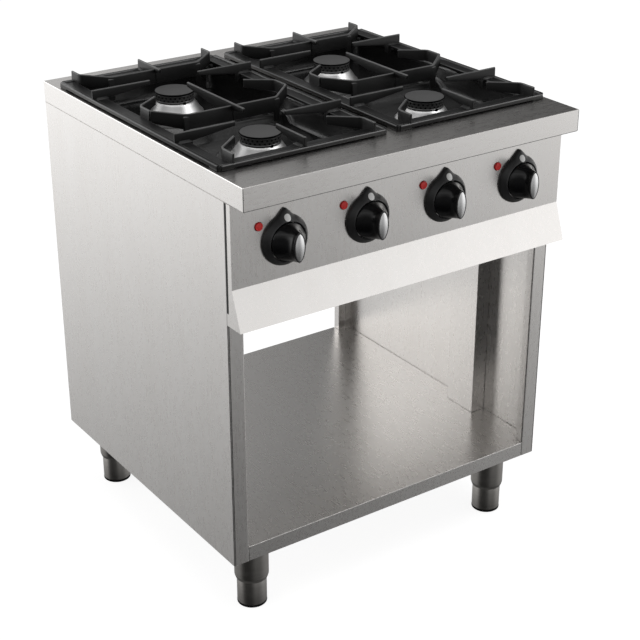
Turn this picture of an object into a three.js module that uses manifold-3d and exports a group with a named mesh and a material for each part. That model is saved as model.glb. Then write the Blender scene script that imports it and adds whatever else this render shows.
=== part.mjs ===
// Four-burner gas range on an open stand. Millimetres, +Z up, front towards -Y, floor at z = 0.
// Inside the `range` group y is measured backwards from the worktop's front edge.
import * as THREE from 'three';
import { mergeVertices } from 'three/addons/utils/BufferGeometryUtils.js';
import Module from 'manifold-3d';

const wasm = await Module();
wasm.setup();

// ---- Driving dimensions ------------------------------------------------------------------
const WIDTH = 700;
const DEPTH = 700;
const TOP = 855;                 // worktop height above the floor
const GAP = 0.3;                 // air left between pieces that touch
const SHEET = 1.5;               // stainless sheet of the casing
const THIN_SHEET = 1.2;          // inner panels and enamelled pans
const TOP_SHEET = 2;             // worktop

const RIM = 40;                  // height of the worktop's turned-down edge
const PANEL_SETBACK = 40;        // control panel behind the worktop's front edge
const PANEL_LOW = TOP - 186;     // where the panel kicks forward
const KICK_LOW = TOP - 253.6;    // bottom edge of the kicked-out strip
const KICK_SETBACK = 16.5;       // that bottom edge, behind the worktop's front edge
const CABINET_SETBACK = 57;      // cabinet front behind the worktop's front edge
const BASE = 131;                // underside of the cabinet, where the legs start
const SHELF_TOP = 160.5;
const FLANGE = 31;               // front and rear flanges of the side panels
const FLANGE_RETURN = 18;

const KNOB_X = [-249, -83, 83, 249];
const KNOB_Z = TOP - 120;
const KNOB_REACH = 48;           // knob's face in front of the panel
const BUTTON_OFFSET = { x: -48.5, z: 32.5 };

const GRATE = { x0: 9, x1: 344, y0: 80, y1: 648 };   // right-hand grate, the left one mirrors it
const BURNER_X = (GRATE.x0 + GRATE.x1) / 2;          // burners left and right of the middle
const BURNER_Y = [220, 512];     // front and rear burner
const CAP_RADIUS = 37;

const LEG_X = 281;
const LEG_Y = [112, 642];

const FRONT = -(DEPTH + KNOB_REACH - PANEL_SETBACK) / 2 + KNOB_REACH - PANEL_SETBACK;

// ---- Finishes ----------------------------------------------------------------------------
const finish = (color, roughness, metalness) => new THREE.MeshStandardMaterial({ color, roughness, metalness });
const STEEL = finish(0xc9c6c2, 0.34, 1);
const DARK_STEEL = finish(0x4a4a4b, 0.45, 1);
const IRON = finish(0x2b2b2c, 0.6, 0.4);
const ENAMEL = finish(0x161617, 0.25, 0);
const ALUMINIUM = finish(0xd6d6d4, 0.28, 1);
const BLACK_PLASTIC = finish(0x0e0e0f, 0.2, 0);
const SATIN_PLASTIC = finish(0x1c1c1d, 0.4, 0);
const SILVER = finish(0xb9b9ba, 0.25, 1);
const RED = finish(0xb01c17, 0.35, 0);
const BRASS = finish(0xb08d4a, 0.35, 1);

// ---- Solids ------------------------------------------------------------------------------
// Turns a closed geometry into a manifold: shared corners merged, slivers dropped, faces outward.
function solid(geometry) {
  geometry.deleteAttribute('normal');
  geometry.deleteAttribute('uv');
  const merged = mergeVertices(geometry, 1e-4);
  const position = merged.attributes.position;
  const corner = (i) => new THREE.Vector3().fromBufferAttribute(position, i);
  const triangles = [];
  let volume = 0;
  for (let i = 0; i < merged.index.count; i += 3) {
    const [a, b, c] = [0, 1, 2].map((k) => merged.index.getX(i + k));
    if (a === b || b === c || c === a) continue;
    triangles.push([a, b, c]);
    volume += corner(a).dot(corner(b).cross(corner(c)));
  }
  const triVerts = new Uint32Array(triangles.flatMap(([a, b, c]) => (volume > 0 ? [a, b, c] : [a, c, b])));
  const vertProperties = new Float32Array(position.array);
  return new wasm.Manifold(new wasm.Mesh({ numProp: 3, vertProperties, triVerts }));
}

function box(x0, x1, y0, y1, z0, z1) {
  const geometry = new THREE.BoxGeometry(x1 - x0, y1 - y0, z1 - z0);
  geometry.translate((x0 + x1) / 2, (y0 + y1) / 2, (z0 + z1) / 2);
  return solid(geometry);
}

const join = (pieces) => pieces.reduce((whole, piece) => whole.add(piece));

// Lathe of [radius, height] points; a profile that doesn't start on the axis is a ring and closes on itself.
function lathe(profile, segments) {
  const points = profile.map(([r, h]) => new THREE.Vector2(r, h));
  if (points[0].x > 0) points.push(points[0].clone());
  return new THREE.LatheGeometry(points, segments);
}

// Turned shape standing on +Z.
const turned = (profile, segments = 20) => solid(lathe(profile, segments).rotateX(Math.PI / 2));

// Turned shape whose heights run forward, towards -Y.
const turnedForward = (profile, segments = 20) => solid(lathe(profile, segments).rotateX(Math.PI));

// Outline of [y, z] points swept along X from x0 to x1.
function sweptAlongX(outline, x0, x1) {
  const shape = new THREE.Shape(outline.map(([y, z]) => new THREE.Vector2(y, z)));
  const geometry = new THREE.ExtrudeGeometry(shape, { depth: x1 - x0, bevelEnabled: false });
  const toYZ = new THREE.Matrix4().makeBasis(
    new THREE.Vector3(0, 1, 0), new THREE.Vector3(0, 0, 1), new THREE.Vector3(1, 0, 0));
  geometry.applyMatrix4(toYZ);
  geometry.translate(x0, 0, 0);
  return solid(geometry);
}

// Upright slab with rounded corners, between two heights.
function roundedSlab(x0, x1, y0, y1, z0, z1, radius) {
  const shape = new THREE.Shape();
  shape.moveTo(x0 + radius, y0);
  shape.lineTo(x1 - radius, y0);
  shape.absarc(x1 - radius, y0 + radius, radius, -Math.PI / 2, 0);
  shape.lineTo(x1, y1 - radius);
  shape.absarc(x1 - radius, y1 - radius, radius, 0, Math.PI / 2);
  shape.lineTo(x0 + radius, y1);
  shape.absarc(x0 + radius, y1 - radius, radius, Math.PI / 2, Math.PI);
  shape.lineTo(x0, y0 + radius);
  shape.absarc(x0 + radius, y0 + radius, radius, Math.PI, Math.PI * 1.5);
  const geometry = new THREE.ExtrudeGeometry(shape, { depth: z1 - z0, bevelEnabled: false, curveSegments: 3 });
  geometry.translate(0, 0, z0);
  return solid(geometry);
}

// Round bar or tube along a path of points.
function bar(points, radius, sides = 10) {
  const section = new THREE.Shape();
  for (let i = 0; i < sides; i += 1) {
    const angle = (i / sides) * Math.PI * 2;
    section[i ? 'lineTo' : 'moveTo'](radius * Math.cos(angle), radius * Math.sin(angle));
  }
  const path = new THREE.CatmullRomCurve3(points.map((p) => new THREE.Vector3(...p)), false, 'centripetal');
  const steps = points.length > 2 ? 14 : 1;
  return solid(new THREE.ExtrudeGeometry(section, { steps, extrudePath: path, bevelEnabled: false }));
}

const range = new THREE.Group();
range.position.y = FRONT;

function place(name, body, material, position = [0, 0, 0]) {
  const { vertProperties, triVerts } = body.getMesh();
  const geometry = new THREE.BufferGeometry();
  geometry.setAttribute('position', new THREE.BufferAttribute(vertProperties, 3));
  geometry.setIndex(new THREE.BufferAttribute(triVerts, 1));
  geometry.computeVertexNormals();
  const mesh = new THREE.Mesh(geometry, material);
  mesh.name = name;
  mesh.position.set(...position);
  range.add(mesh);
}

const mirrored = (body) => body.mirror([1, 0, 0]);
const HALF = WIDTH / 2;

// ---- Worktop -----------------------------------------------------------------------------
const PAN = { x0: GRATE.x0 + 18, x1: GRATE.x1 - 18, y0: GRATE.y0 + 18, y1: GRATE.y1 - 18 };
const PAN_CLEARANCE = 3;

function worktop() {
  const shell = box(-HALF, HALF, 0, DEPTH, TOP - RIM, TOP)
    .subtract(box(-HALF + TOP_SHEET, HALF - TOP_SHEET, TOP_SHEET, DEPTH - TOP_SHEET, TOP - RIM - 1, TOP - TOP_SHEET));
  const frontReturn = box(-HALF + 1, HALF - 1, 1, PANEL_SETBACK - 2, TOP - RIM, TOP - RIM + TOP_SHEET);
  const cutout = roundedSlab(PAN.x0 - PAN_CLEARANCE, PAN.x1 + PAN_CLEARANCE,
    PAN.y0 - PAN_CLEARANCE, PAN.y1 + PAN_CLEARANCE, TOP - TOP_SHEET - 1, TOP + 1, 20);
  return shell.add(frontReturn).subtract(cutout).subtract(mirrored(cutout));
}

// ---- Casing ------------------------------------------------------------------------------
// Right-hand side panel: outer skin with front, rear and bottom flanges and their returns.
function sidePanel() {
  const top = TOP - RIM - GAP;
  const inner = HALF - FLANGE;
  return join([
    box(HALF - SHEET, HALF, CABINET_SETBACK, DEPTH, BASE, top),
    box(inner, HALF, CABINET_SETBACK, CABINET_SETBACK + SHEET, BASE, top),
    box(inner, inner + SHEET, CABINET_SETBACK, CABINET_SETBACK + FLANGE_RETURN, BASE, KICK_LOW),
    box(inner, HALF, DEPTH - SHEET, DEPTH, BASE, top),
    box(inner, inner + SHEET, DEPTH - FLANGE_RETURN, DEPTH, BASE, KICK_LOW),
  ]);
}

// Shelf between the side panels, with turned-down front and rear edges.
function bottomShelf() {
  const inner = HALF - FLANGE - GAP;
  const wide = HALF - SHEET - GAP;
  const edge = CABINET_SETBACK + FLANGE_RETURN + GAP;
  const rear = DEPTH - FLANGE_RETURN - GAP;
  return join([
    box(-inner, inner, CABINET_SETBACK, DEPTH, SHELF_TOP - SHEET, SHELF_TOP),
    box(-wide, wide, edge, rear, SHELF_TOP - SHEET, SHELF_TOP),
    box(-inner, inner, CABINET_SETBACK, CABINET_SETBACK + SHEET, BASE, SHELF_TOP - 1),
    box(-inner, inner, DEPTH - SHEET, DEPTH, BASE, SHELF_TOP - 1),
  ]);
}

// Hat channel across the base, which the legs bolt to.
const BASE_RAIL_DEPTH = 74;
function baseRail() {
  const half = BASE_RAIL_DEPTH / 2;
  const long = HALF - SHEET - GAP;
  const high = SHELF_TOP - SHEET - GAP;
  return join([
    box(-long, long, -half, half, BASE, BASE + SHEET),
    box(-long, long, -half, -half + SHEET, BASE, high),
    box(-long, long, half - SHEET, half, BASE, high),
  ]);
}

const STEM_HOLE = 6.5;
const BUTTON_HOLE = 8.2;

// Folded front: upright panel, kicked-out strip, bottom return and a cheek at each end.
function controlPanel() {
  const top = TOP - RIM - GAP;
  const back = CABINET_SETBACK - GAP;
  const outer = [[PANEL_SETBACK, top], [PANEL_SETBACK, PANEL_LOW], [KICK_SETBACK, KICK_LOW],
    [back, KICK_LOW], [back, KICK_LOW + SHEET]];
  const inner = [[KICK_SETBACK + SHEET * 1.4, KICK_LOW + SHEET], [PANEL_SETBACK + SHEET, PANEL_LOW - 0.3],
    [PANEL_SETBACK + SHEET, top]];
  const skin = sweptAlongX([...outer, ...inner], -HALF, HALF);
  const cheekOutline = [[PANEL_SETBACK, top], [PANEL_SETBACK, PANEL_LOW], [KICK_SETBACK, KICK_LOW],
    [back, KICK_LOW], [back, top]];
  const cheek = sweptAlongX(cheekOutline, HALF - SHEET, HALF);
  const holes = KNOB_X.flatMap((x) => [
    turnedForward([[0, -10], [STEM_HOLE, -10], [STEM_HOLE, 10], [0, 10]], 12)
      .translate([x, PANEL_SETBACK, KNOB_Z]),
    turnedForward([[0, -10], [BUTTON_HOLE, -10], [BUTTON_HOLE, 10], [0, 10]], 12)
      .translate([x + BUTTON_OFFSET.x, PANEL_SETBACK, KNOB_Z + BUTTON_OFFSET.z]),
  ]);
  return holes.reduce((panel, hole) => panel.subtract(hole), join([skin, cheek, mirrored(cheek)]));
}

const INLET = { x: 300, z: 735, radius: 10.5 };

function backPanel() {
  const wide = HALF - TOP_SHEET - GAP;
  const rear = DEPTH - TOP_SHEET - GAP;
  const sheet = box(-wide, wide, rear - THIN_SHEET, rear, KICK_LOW + SHEET + GAP, TOP - TOP_SHEET - GAP);
  const hole = turnedForward([[0, -10], [INLET.radius + 4, -10], [INLET.radius + 4, 10], [0, 10]], 12);
  return sheet.subtract(hole.translate([INLET.x, rear, INLET.z]));
}

// Tray that closes the burner compartment from below.
function compartmentFloor() {
  const wide = HALF - SHEET - GAP;
  const front = CABINET_SETBACK + SHEET + GAP;
  const rear = DEPTH - TOP_SHEET - THIN_SHEET - GAP * 2;
  const low = KICK_LOW + SHEET + GAP;
  const tray = box(-wide, wide, front, rear, low, low + 20);
  return tray.subtract(box(-wide + THIN_SHEET, wide - THIN_SHEET, front + THIN_SHEET, rear - THIN_SHEET,
    low + THIN_SHEET, low + 30));
}

// Right-hand upright channel on the inside wall, open towards the wall.
const CHANNEL = { width: 33.5, y0: 208, y1: 286 };
function uprightChannel() {
  const wall = HALF - SHEET - GAP;
  const low = SHELF_TOP + GAP;
  const high = KICK_LOW + SHEET;
  const outer = box(HALF - CHANNEL.width, wall, CHANNEL.y0, CHANNEL.y1, low, high);
  return outer.subtract(box(HALF - CHANNEL.width + THIN_SHEET, wall + 1, CHANNEL.y0 + THIN_SHEET,
    CHANNEL.y1 - THIN_SHEET, low - 1, high + 1));
}

place('worktop', worktop(), STEEL);
place('side_panel_right', sidePanel(), STEEL);
place('side_panel_left', mirrored(sidePanel()), STEEL);
place('bottom_shelf', bottomShelf(), STEEL);
place('base_rail_front', baseRail(), STEEL, [0, LEG_Y[0] + 4, 0]);
place('base_rail_rear', baseRail(), STEEL, [0, LEG_Y[1] - 4, 0]);
place('control_panel', controlPanel(), STEEL);
place('back_panel', backPanel(), STEEL);
place('compartment_floor', compartmentFloor(), STEEL);
place('upright_channel_right', uprightChannel(), STEEL);
place('upright_channel_left', mirrored(uprightChannel()), STEEL);

// ---- Legs and screw-adjusted feet --------------------------------------------------------
const LEG_RADIUS = 31.7;
const FOOT_RADIUS = 27.7;
const LEG_LOW = 55;              // lower edge of the leg's tube
const FOOT_TOP = 108;            // the foot screws down until its top nears the leg's lower edge

function leg() {
  const top = BASE - GAP;
  return turned([[0, top - 6], [26, top - 6], [26, LEG_LOW + 6], [FOOT_RADIUS + 0.5, LEG_LOW],
    [LEG_RADIUS - 3, LEG_LOW], [LEG_RADIUS, LEG_LOW + 9], [LEG_RADIUS, top], [0, top]]);
}

function foot() {
  return turned([[0, 0], [FOOT_RADIUS - 2, 0], [FOOT_RADIUS, 2], [FOOT_RADIUS, LEG_LOW - GAP], [23, LEG_LOW - GAP],
    [23, FOOT_TOP], [20, FOOT_TOP], [20, 6], [0, 6]]);
}

const SIDES = { left: -1, right: 1 };
const ROWS = { front: 0, rear: 1 };
for (const [side, sign] of Object.entries(SIDES)) {
  for (const [row, index] of Object.entries(ROWS)) {
    const spot = [sign * LEG_X, LEG_Y[index], 0];
    place(`leg_${row}_${side}`, leg(), DARK_STEEL, spot);
    place(`foot_${row}_${side}`, foot(), DARK_STEEL, spot);
  }
}

// ---- Burners -----------------------------------------------------------------------------
const PAN_DEPTH = 48;            // pan floor below the worktop
const COLLAR_HEIGHT = 6;
const CUP_SKIRT = 53;
const CROWN_RADIUS = 36;

// Aluminium cup: conical skirt over the pan's collar, throat down through the pan's hole.
function burnerCup() {
  const skirtLow = -PAN_DEPTH + COLLAR_HEIGHT + GAP;
  return turned([[0, -80], [13, -80], [13, -62], [33, -54], [33, skirtLow], [CUP_SKIRT, skirtLow],
    [CUP_SKIRT, skirtLow + 2], [CROWN_RADIUS, -20], [CROWN_RADIUS - 2, -18.3], [31, -18.3], [31, -50], [0, -50]]);
}

// Crown with a spigot that drops into the cup; the flame ports open in its side.
function burnerCrown() {
  return turned([[28, -26], [30.5, -26], [30.5, -18], [CROWN_RADIUS, -18], [CROWN_RADIUS, -3.3], [0, -3.3],
    [0, -7], [28, -7]]);
}

function burnerCap() {
  return turned([[0, -3], [CAP_RADIUS, -3], [CAP_RADIUS, -1.2], [CAP_RADIUS - 1.5, 0], [0, 0]]);
}

for (const [side, sign] of Object.entries(SIDES)) {
  for (const [row, index] of Object.entries(ROWS)) {
    const spot = [sign * BURNER_X, BURNER_Y[index], TOP];
    place(`burner_cup_${row}_${side}`, burnerCup(), ALUMINIUM, spot);
    place(`burner_crown_${row}_${side}`, burnerCrown(), IRON, spot);
    place(`burner_cap_${row}_${side}`, burnerCap(), IRON, spot);
  }
}

// ---- Drip pans ---------------------------------------------------------------------------
const PAN_FLANGE = 8;
const RIDGE = { y: 366, foot: 34, crest: 18, height: 16 };
const SEAT = { foot: 80, crest: 74, height: 3 };     // raised round seat under each burner

// Prism across the pan that splits its floor into a front and a rear well.
function ridge(grow) {
  const low = TOP - PAN_DEPTH - THIN_SHEET - 1;
  const high = TOP - PAN_DEPTH + RIDGE.height - THIN_SHEET + grow;
  const outline = [[RIDGE.y - RIDGE.foot - grow, low], [RIDGE.y + RIDGE.foot + grow, low],
    [RIDGE.y + RIDGE.crest + grow, high], [RIDGE.y - RIDGE.crest - grow, high]];
  return sweptAlongX(outline, PAN.x0 - 1, PAN.x1 + 1);
}

// Two low round plateaus, one under each burner.
function burnerSeats(grow) {
  const low = -THIN_SHEET - 1;
  const high = SEAT.height - THIN_SHEET + grow;
  return join(BURNER_Y.map((y) => turned([[0, low], [SEAT.foot + grow, low], [SEAT.crest + grow, high], [0, high]], 32)
    .translate([BURNER_X, y, TOP - PAN_DEPTH])));
}

function dripPan() {
  const { x0, x1, y0, y1 } = PAN;
  const low = TOP - PAN_DEPTH - THIN_SHEET;
  const flange = roundedSlab(x0 - PAN_FLANGE, x1 + PAN_FLANGE, y0 - PAN_FLANGE, y1 + PAN_FLANGE,
    TOP + GAP, TOP + GAP + SHEET, 24);
  const outer = roundedSlab(x0, x1, y0, y1, low, TOP + 1, 20).subtract(ridge(0)).subtract(burnerSeats(0));
  const cavity = roundedSlab(x0 + THIN_SHEET, x1 - THIN_SHEET, y0 + THIN_SHEET, y1 - THIN_SHEET,
    TOP - PAN_DEPTH, TOP + 5, 19).subtract(ridge(THIN_SHEET)).subtract(burnerSeats(THIN_SHEET));
  const holes = BURNER_Y.map((y) => turned([[0, -20], [36, -20], [36, 20], [0, 20]], 16)
    .translate([BURNER_X, y, TOP - PAN_DEPTH]));
  const collars = BURNER_Y.map((y) => turned([[0, -0.5], [42, -0.5], [40, COLLAR_HEIGHT], [0, COLLAR_HEIGHT]], 16)
    .translate([BURNER_X, y, TOP - PAN_DEPTH]));
  return join([outer.add(flange).subtract(cavity), ...collars]).subtract(join(holes));
}

place('drip_pan_right', dripPan(), ENAMEL);
place('drip_pan_left', mirrored(dripPan()), ENAMEL);

// ---- Cast-iron grates --------------------------------------------------------------------
const RAIL = { width: 28, ridge: 8, low: 3, ledge: 8, high: 10 };
const FINGER = { top: 26.5, thickness: 5, root: 5, tip: 19, reach: 50 };
const BRIDGE = { root: 5, low: -5, leg: -22, legWidth: 12 };
const PAD = { length: 32, foot: 8, crest: 3, high: 13 };    // sloped pad under the root of each finger
const NOTCH = 7;                                            // cut out of each corner of the frame

// Upright plate from one plan point to another; its lower edge may rise towards the far end.
function plate([ax, ay], [bx, by], lowStart, lowEnd, top, thickness = FINGER.thickness) {
  const length = Math.hypot(bx - ax, by - ay);
  const shape = new THREE.Shape([[0, lowStart], [length, lowEnd], [length, top], [0, top]]
    .map(([x, y]) => new THREE.Vector2(x, y)));
  const geometry = new THREE.ExtrudeGeometry(shape, { depth: thickness, bevelEnabled: false });
  geometry.translate(0, 0, -thickness / 2);
  geometry.rotateX(Math.PI / 2);
  geometry.rotateZ(Math.atan2(by - ay, bx - ax));
  geometry.translate(ax, ay, TOP);
  return solid(geometry);
}

function frameRing(width, low, high) {
  const { x0, x1, y0, y1 } = GRATE;
  return box(x0, x1, y0, y1, TOP + low, TOP + high)
    .subtract(box(x0 + width, x1 - width, y0 + width, y1 - width, TOP + low - 1, TOP + high + 1));
}

// Pad with sloped sides across the frame rail, running inwards from a point on the frame's edge.
function rootPad([x, y], turn) {
  const shape = new THREE.Shape([[-PAD.foot, RAIL.low], [PAD.foot, RAIL.low], [PAD.foot, RAIL.ledge],
    [PAD.crest, PAD.high], [-PAD.crest, PAD.high], [-PAD.foot, RAIL.ledge]].map((p) => new THREE.Vector2(...p)));
  const geometry = new THREE.ExtrudeGeometry(shape, { depth: PAD.length - 2, bevelEnabled: false });
  geometry.rotateX(Math.PI / 2);
  geometry.rotateZ(turn);
  geometry.translate(x + 2 * Math.sin(turn), y - 2 * Math.cos(turn), TOP);
  return solid(geometry);
}

function grate() {
  const { x0, x1, y0, y1 } = GRATE;
  const middle = (x0 + x1) / 2;
  const { top, root, tip, reach } = FINGER;
  const [front, rear] = BURNER_Y;
  const fin = x0 + 29;                         // corner and middle fins stand on the rails' inner edge
  const kink = x0 + 76;                        // where a diagonal turns along the grate
  const pieces = [
    frameRing(RAIL.width, RAIL.low, RAIL.ledge),
    frameRing(RAIL.ridge, RAIL.low, RAIL.high),
    rootPad([middle, y0], Math.PI),
    rootPad([middle, y1], 0),
    // Fingers over the burners from the front and rear rails, and the long bar between the burners
    plate([middle, y0 + 3], [middle, front - reach], root, tip, top),
    plate([middle, y1 - 1], [middle, rear + reach], root, tip, top),
    plate([middle, (front + rear) / 2], [middle, front + reach], root, tip, top),
    plate([middle, (front + rear) / 2], [middle, rear - reach], root, tip, top),
  ];
  for (const flip of [(x) => x, (x) => 2 * middle - x]) {
    const inward = flip(x0) < middle ? Math.PI / 2 : -Math.PI / 2;
    for (const y of BURNER_Y) {
      pieces.push(plate([flip(x0 + 1), y], [flip(middle - reach), y], root, tip, top));
      pieces.push(rootPad([flip(x0), y], inward));
    }
    // Fins, free diagonals and the two bridges with their short legs
    const route = (points, low) => {
      for (let i = 1; i < points.length; i += 1) {
        const [from, to] = [points[i - 1], points[i]];
        pieces.push(plate([flip(from[0]), from[1]], [flip(to[0]), to[1]], low[i - 1], low[i], top));
      }
    };
    route([[fin, y0 + 1], [fin, 117], [kink, 156]], [root, root, 12]);
    route([[fin, 350], [fin, 386], [kink, 419]], [root, root, 12]);
    route([[fin, y1 - 1], [fin, 616]], [root, root]);
    for (const [start, bend] of [[616, 583], [350, 310]]) {
      route([[fin, start], [kink, bend], [middle, bend]], [BRIDGE.root, BRIDGE.low, BRIDGE.low]);
      route([[kink - BRIDGE.legWidth / 2, bend], [kink + BRIDGE.legWidth / 2, bend]], [BRIDGE.leg, BRIDGE.leg]);
    }
    // Corner feet on the worktop
    for (const [a, b, c, d] of [[0, 9, 0, 30], [0, 30, 0, 9]]) {
      const [left, right] = [flip(x0 + a), flip(x0 + b)].sort((p, q) => p - q);
      pieces.push(box(left, right, y0 + c, y0 + d, TOP + GAP, TOP + RAIL.low + 1));
      pieces.push(box(left, right, y1 - d, y1 - c, TOP + GAP, TOP + RAIL.low + 1));
    }
  }
  // Each corner is notched around a round post
  const corners = [x0, x1].flatMap((x) => [y0, y1].map((y) => [x, y]));
  const notches = corners.map(([x, y]) => box(x - NOTCH, x + NOTCH, y - NOTCH, y + NOTCH, TOP, TOP + top));
  const posts = corners.map(([x, y]) => turned([[0, GAP], [4, GAP], [4, RAIL.ledge], [0, RAIL.ledge]], 10)
    .translate([x + Math.sign(middle - x) * NOTCH, y + Math.sign((y0 + y1) / 2 - y) * NOTCH, TOP]));
  return join([join(pieces).subtract(join(notches)), ...posts]);
}

place('grate_right', grate(), IRON);
place('grate_left', mirrored(grate()), IRON);

// ---- Controls ----------------------------------------------------------------------------
const BEZEL = { radius: 44, tip: 55, height: 14, bore: 33.5 };
const KNOB = { base: 32, baseHeight: 11, gripHeight: 52, gripWidth: 23 };
const STEM_RADIUS = 4;

// Dished bezel with a pointed tip upwards, open in the middle for the knob.
function knobBezel() {
  const { radius, tip, height, bore } = BEZEL;
  const dish = turnedForward([[bore, GAP], [radius, GAP], [radius, 3], [bore + 1.5, height], [bore, height]], 24);
  const half = 0.66;                          // half-angle of the tip's root on the bezel's edge
  const outline = new THREE.Shape();
  outline.moveTo((radius - 1) * Math.sin(half), (radius - 1) * Math.cos(half));
  outline.quadraticCurveTo(9, radius, 2.5, tip);
  outline.lineTo(-2.5, tip);
  outline.quadraticCurveTo(-9, radius, -(radius - 1) * Math.sin(half), (radius - 1) * Math.cos(half));
  const geometry = new THREE.ExtrudeGeometry(outline, { depth: 5, bevelEnabled: false, curveSegments: 4 });
  geometry.rotateX(Math.PI / 2);
  geometry.translate(0, -GAP, 0);
  return dish.add(solid(geometry));
}

// Knob: round base that narrows at the sides into an upright grip, hollow socket behind for the stem.
function knob() {
  const { base, baseHeight, gripHeight, gripWidth } = KNOB;
  const face = KNOB_REACH - 1.8;
  const profile = [[0, baseHeight], [base, baseHeight], [base, baseHeight + 4]];
  const steps = 4;
  for (let i = 1; i <= steps; i += 1) {
    const t = i / steps;
    profile.push([base + (gripHeight / 2 - base) * t, baseHeight + 4 + (face - baseHeight - 4) * t]);
  }
  profile.push([0, face]);
  const geometry = new THREE.LatheGeometry(profile.map(([r, h]) => new THREE.Vector2(r, h)), 20);
  const position = geometry.attributes.position;
  for (let i = 0; i < position.count; i += 1) {
    const t = THREE.MathUtils.smoothstep(position.getY(i), baseHeight + 4, face - 8);
    position.setX(i, position.getX(i) * THREE.MathUtils.lerp(1, gripWidth / gripHeight, t));
  }
  geometry.rotateX(Math.PI);
  const socket = turnedForward([[0, 0], [STEM_RADIUS + GAP, 0], [STEM_RADIUS + GAP, 31], [0, 31]], 12);
  return solid(geometry).subtract(socket);
}

// Almond lens on the grip's face.
function knobInsert() {
  const tall = 23.5;
  const wide = 8.5;
  const geometry = new THREE.LatheGeometry([[0, 0], [1, 0], [0.72, 0.62], [0.38, 0.92], [0, 1]]
    .map(([r, h]) => new THREE.Vector2(r * tall, h * 1.5)), 16);
  geometry.scale(wide / tall, 1, 1);
  geometry.rotateX(Math.PI);
  geometry.translate(0, -(KNOB_REACH - 1.5), 0);
  return solid(geometry);
}

// Round stem from the valve's throat into the knob's socket.
function valveStem() {
  return turnedForward([[0, -12], [STEM_RADIUS, -12], [STEM_RADIUS, 30.5], [0, 30.5]], 12);
}

// Gas tap with its flange behind the panel and its feed tube up to the burner's throat.
const RAIL_PIPE = { y: 108, radius: 11 };
function gasValve(knobX, burner) {
  const rear = RAIL_PIPE.y - PANEL_SETBACK - RAIL_PIPE.radius - GAP;
  const reach = burner.y - PANEL_SETBACK;
  const drop = TOP - 86 - KNOB_Z;
  const sideways = burner.x - knobX;
  const body = join([
    turnedForward([[0, -16], [16, -16], [16, -3], [0, -3]], 16),
    turnedForward([[0, -34], [12, -34], [12, -15], [0, -15]], 16),
    box(-7, 7, 30, rear, -7, 7),
    bar([[0, 26, 8], [0, 26, 26], [sideways * 0.15, 40, drop - 8], [sideways * 0.6, reach * 0.6, drop - 8],
      [sideways, reach - 3, drop - 8], [sideways, reach, drop - 4], [sideways, reach, drop + 4]], 4, 8),
  ]);
  return body.subtract(turnedForward([[0, -20], [STEM_RADIUS + GAP, -20], [STEM_RADIUS + GAP, 0], [0, 0]], 12));
}

// Gas rail behind the taps with its inlet pipe to the rear.
function gasRail() {
  const rear = DEPTH - 0.5;
  const wall = 2.5;
  const pipes = (shrink, end) => join([
    bar([[-HALF + 60 + shrink, RAIL_PIPE.y, INLET.z], [INLET.x + 8 - shrink, RAIL_PIPE.y, INLET.z]],
      RAIL_PIPE.radius - shrink, 12),
    bar([[INLET.x, RAIL_PIPE.y, INLET.z], [INLET.x, end, INLET.z]], INLET.radius - shrink, 12),
  ]);
  return pipes(0, rear).subtract(pipes(wall, rear + 5));
}

function igniterButton() {
  return turnedForward([[0, -9], [7.3, -9], [7.3, 2.2], [6.3, 3], [0, 3]], 14);
}

const BURNER_OF_KNOB = [[-1, 0], [-1, 1], [1, 1], [1, 0]];   // side and row of the burner each knob feeds
KNOB_X.forEach((x, i) => {
  const spot = [x, PANEL_SETBACK, KNOB_Z];
  const [sign, row] = BURNER_OF_KNOB[i];
  const number = i + 1;
  place(`knob_bezel_${number}`, knobBezel(), SATIN_PLASTIC, spot);
  place(`knob_${number}`, knob(), BLACK_PLASTIC, spot);
  place(`knob_insert_${number}`, knobInsert(), SILVER, spot);
  place(`valve_stem_${number}`, valveStem(), DARK_STEEL, spot);
  place(`gas_valve_${number}`, gasValve(x, { x: sign * BURNER_X, y: BURNER_Y[row] }), BRASS, spot);
  place(`igniter_button_${number}`, igniterButton(), RED,
    [x + BUTTON_OFFSET.x, PANEL_SETBACK, KNOB_Z + BUTTON_OFFSET.z]);
});
place('gas_rail', gasRail(), DARK_STEEL);

const part = new THREE.Group();
part.add(range);
export default part;
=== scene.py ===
import math

import bmesh
import bpy
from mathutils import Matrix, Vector


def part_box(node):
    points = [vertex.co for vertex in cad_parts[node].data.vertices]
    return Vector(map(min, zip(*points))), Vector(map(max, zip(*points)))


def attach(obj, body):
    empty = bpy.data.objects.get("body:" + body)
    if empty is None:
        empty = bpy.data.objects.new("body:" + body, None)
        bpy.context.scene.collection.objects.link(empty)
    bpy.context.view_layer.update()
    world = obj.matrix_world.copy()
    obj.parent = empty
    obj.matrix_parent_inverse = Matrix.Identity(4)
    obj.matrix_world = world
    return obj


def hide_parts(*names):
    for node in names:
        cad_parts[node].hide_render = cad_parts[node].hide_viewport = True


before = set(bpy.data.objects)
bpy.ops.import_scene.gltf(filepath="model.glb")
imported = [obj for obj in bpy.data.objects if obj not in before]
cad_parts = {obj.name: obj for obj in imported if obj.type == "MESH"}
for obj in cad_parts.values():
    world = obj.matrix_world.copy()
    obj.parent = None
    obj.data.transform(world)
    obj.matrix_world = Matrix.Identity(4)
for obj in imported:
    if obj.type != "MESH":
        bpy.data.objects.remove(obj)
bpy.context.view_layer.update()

MM = 0.001
scene = bpy.context.scene

# ---- Names and places from the frame -----------------------------------------------------
SIDES = ("left", "right")
ROWS = ("front", "rear")
CORNERS = [(row, side) for side in SIDES for row in ROWS]
NUMBERS = (1, 2, 3, 4)
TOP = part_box("worktop")[1].z


def middle(node):
    low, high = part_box(node)
    return (low + high) / 2


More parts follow.
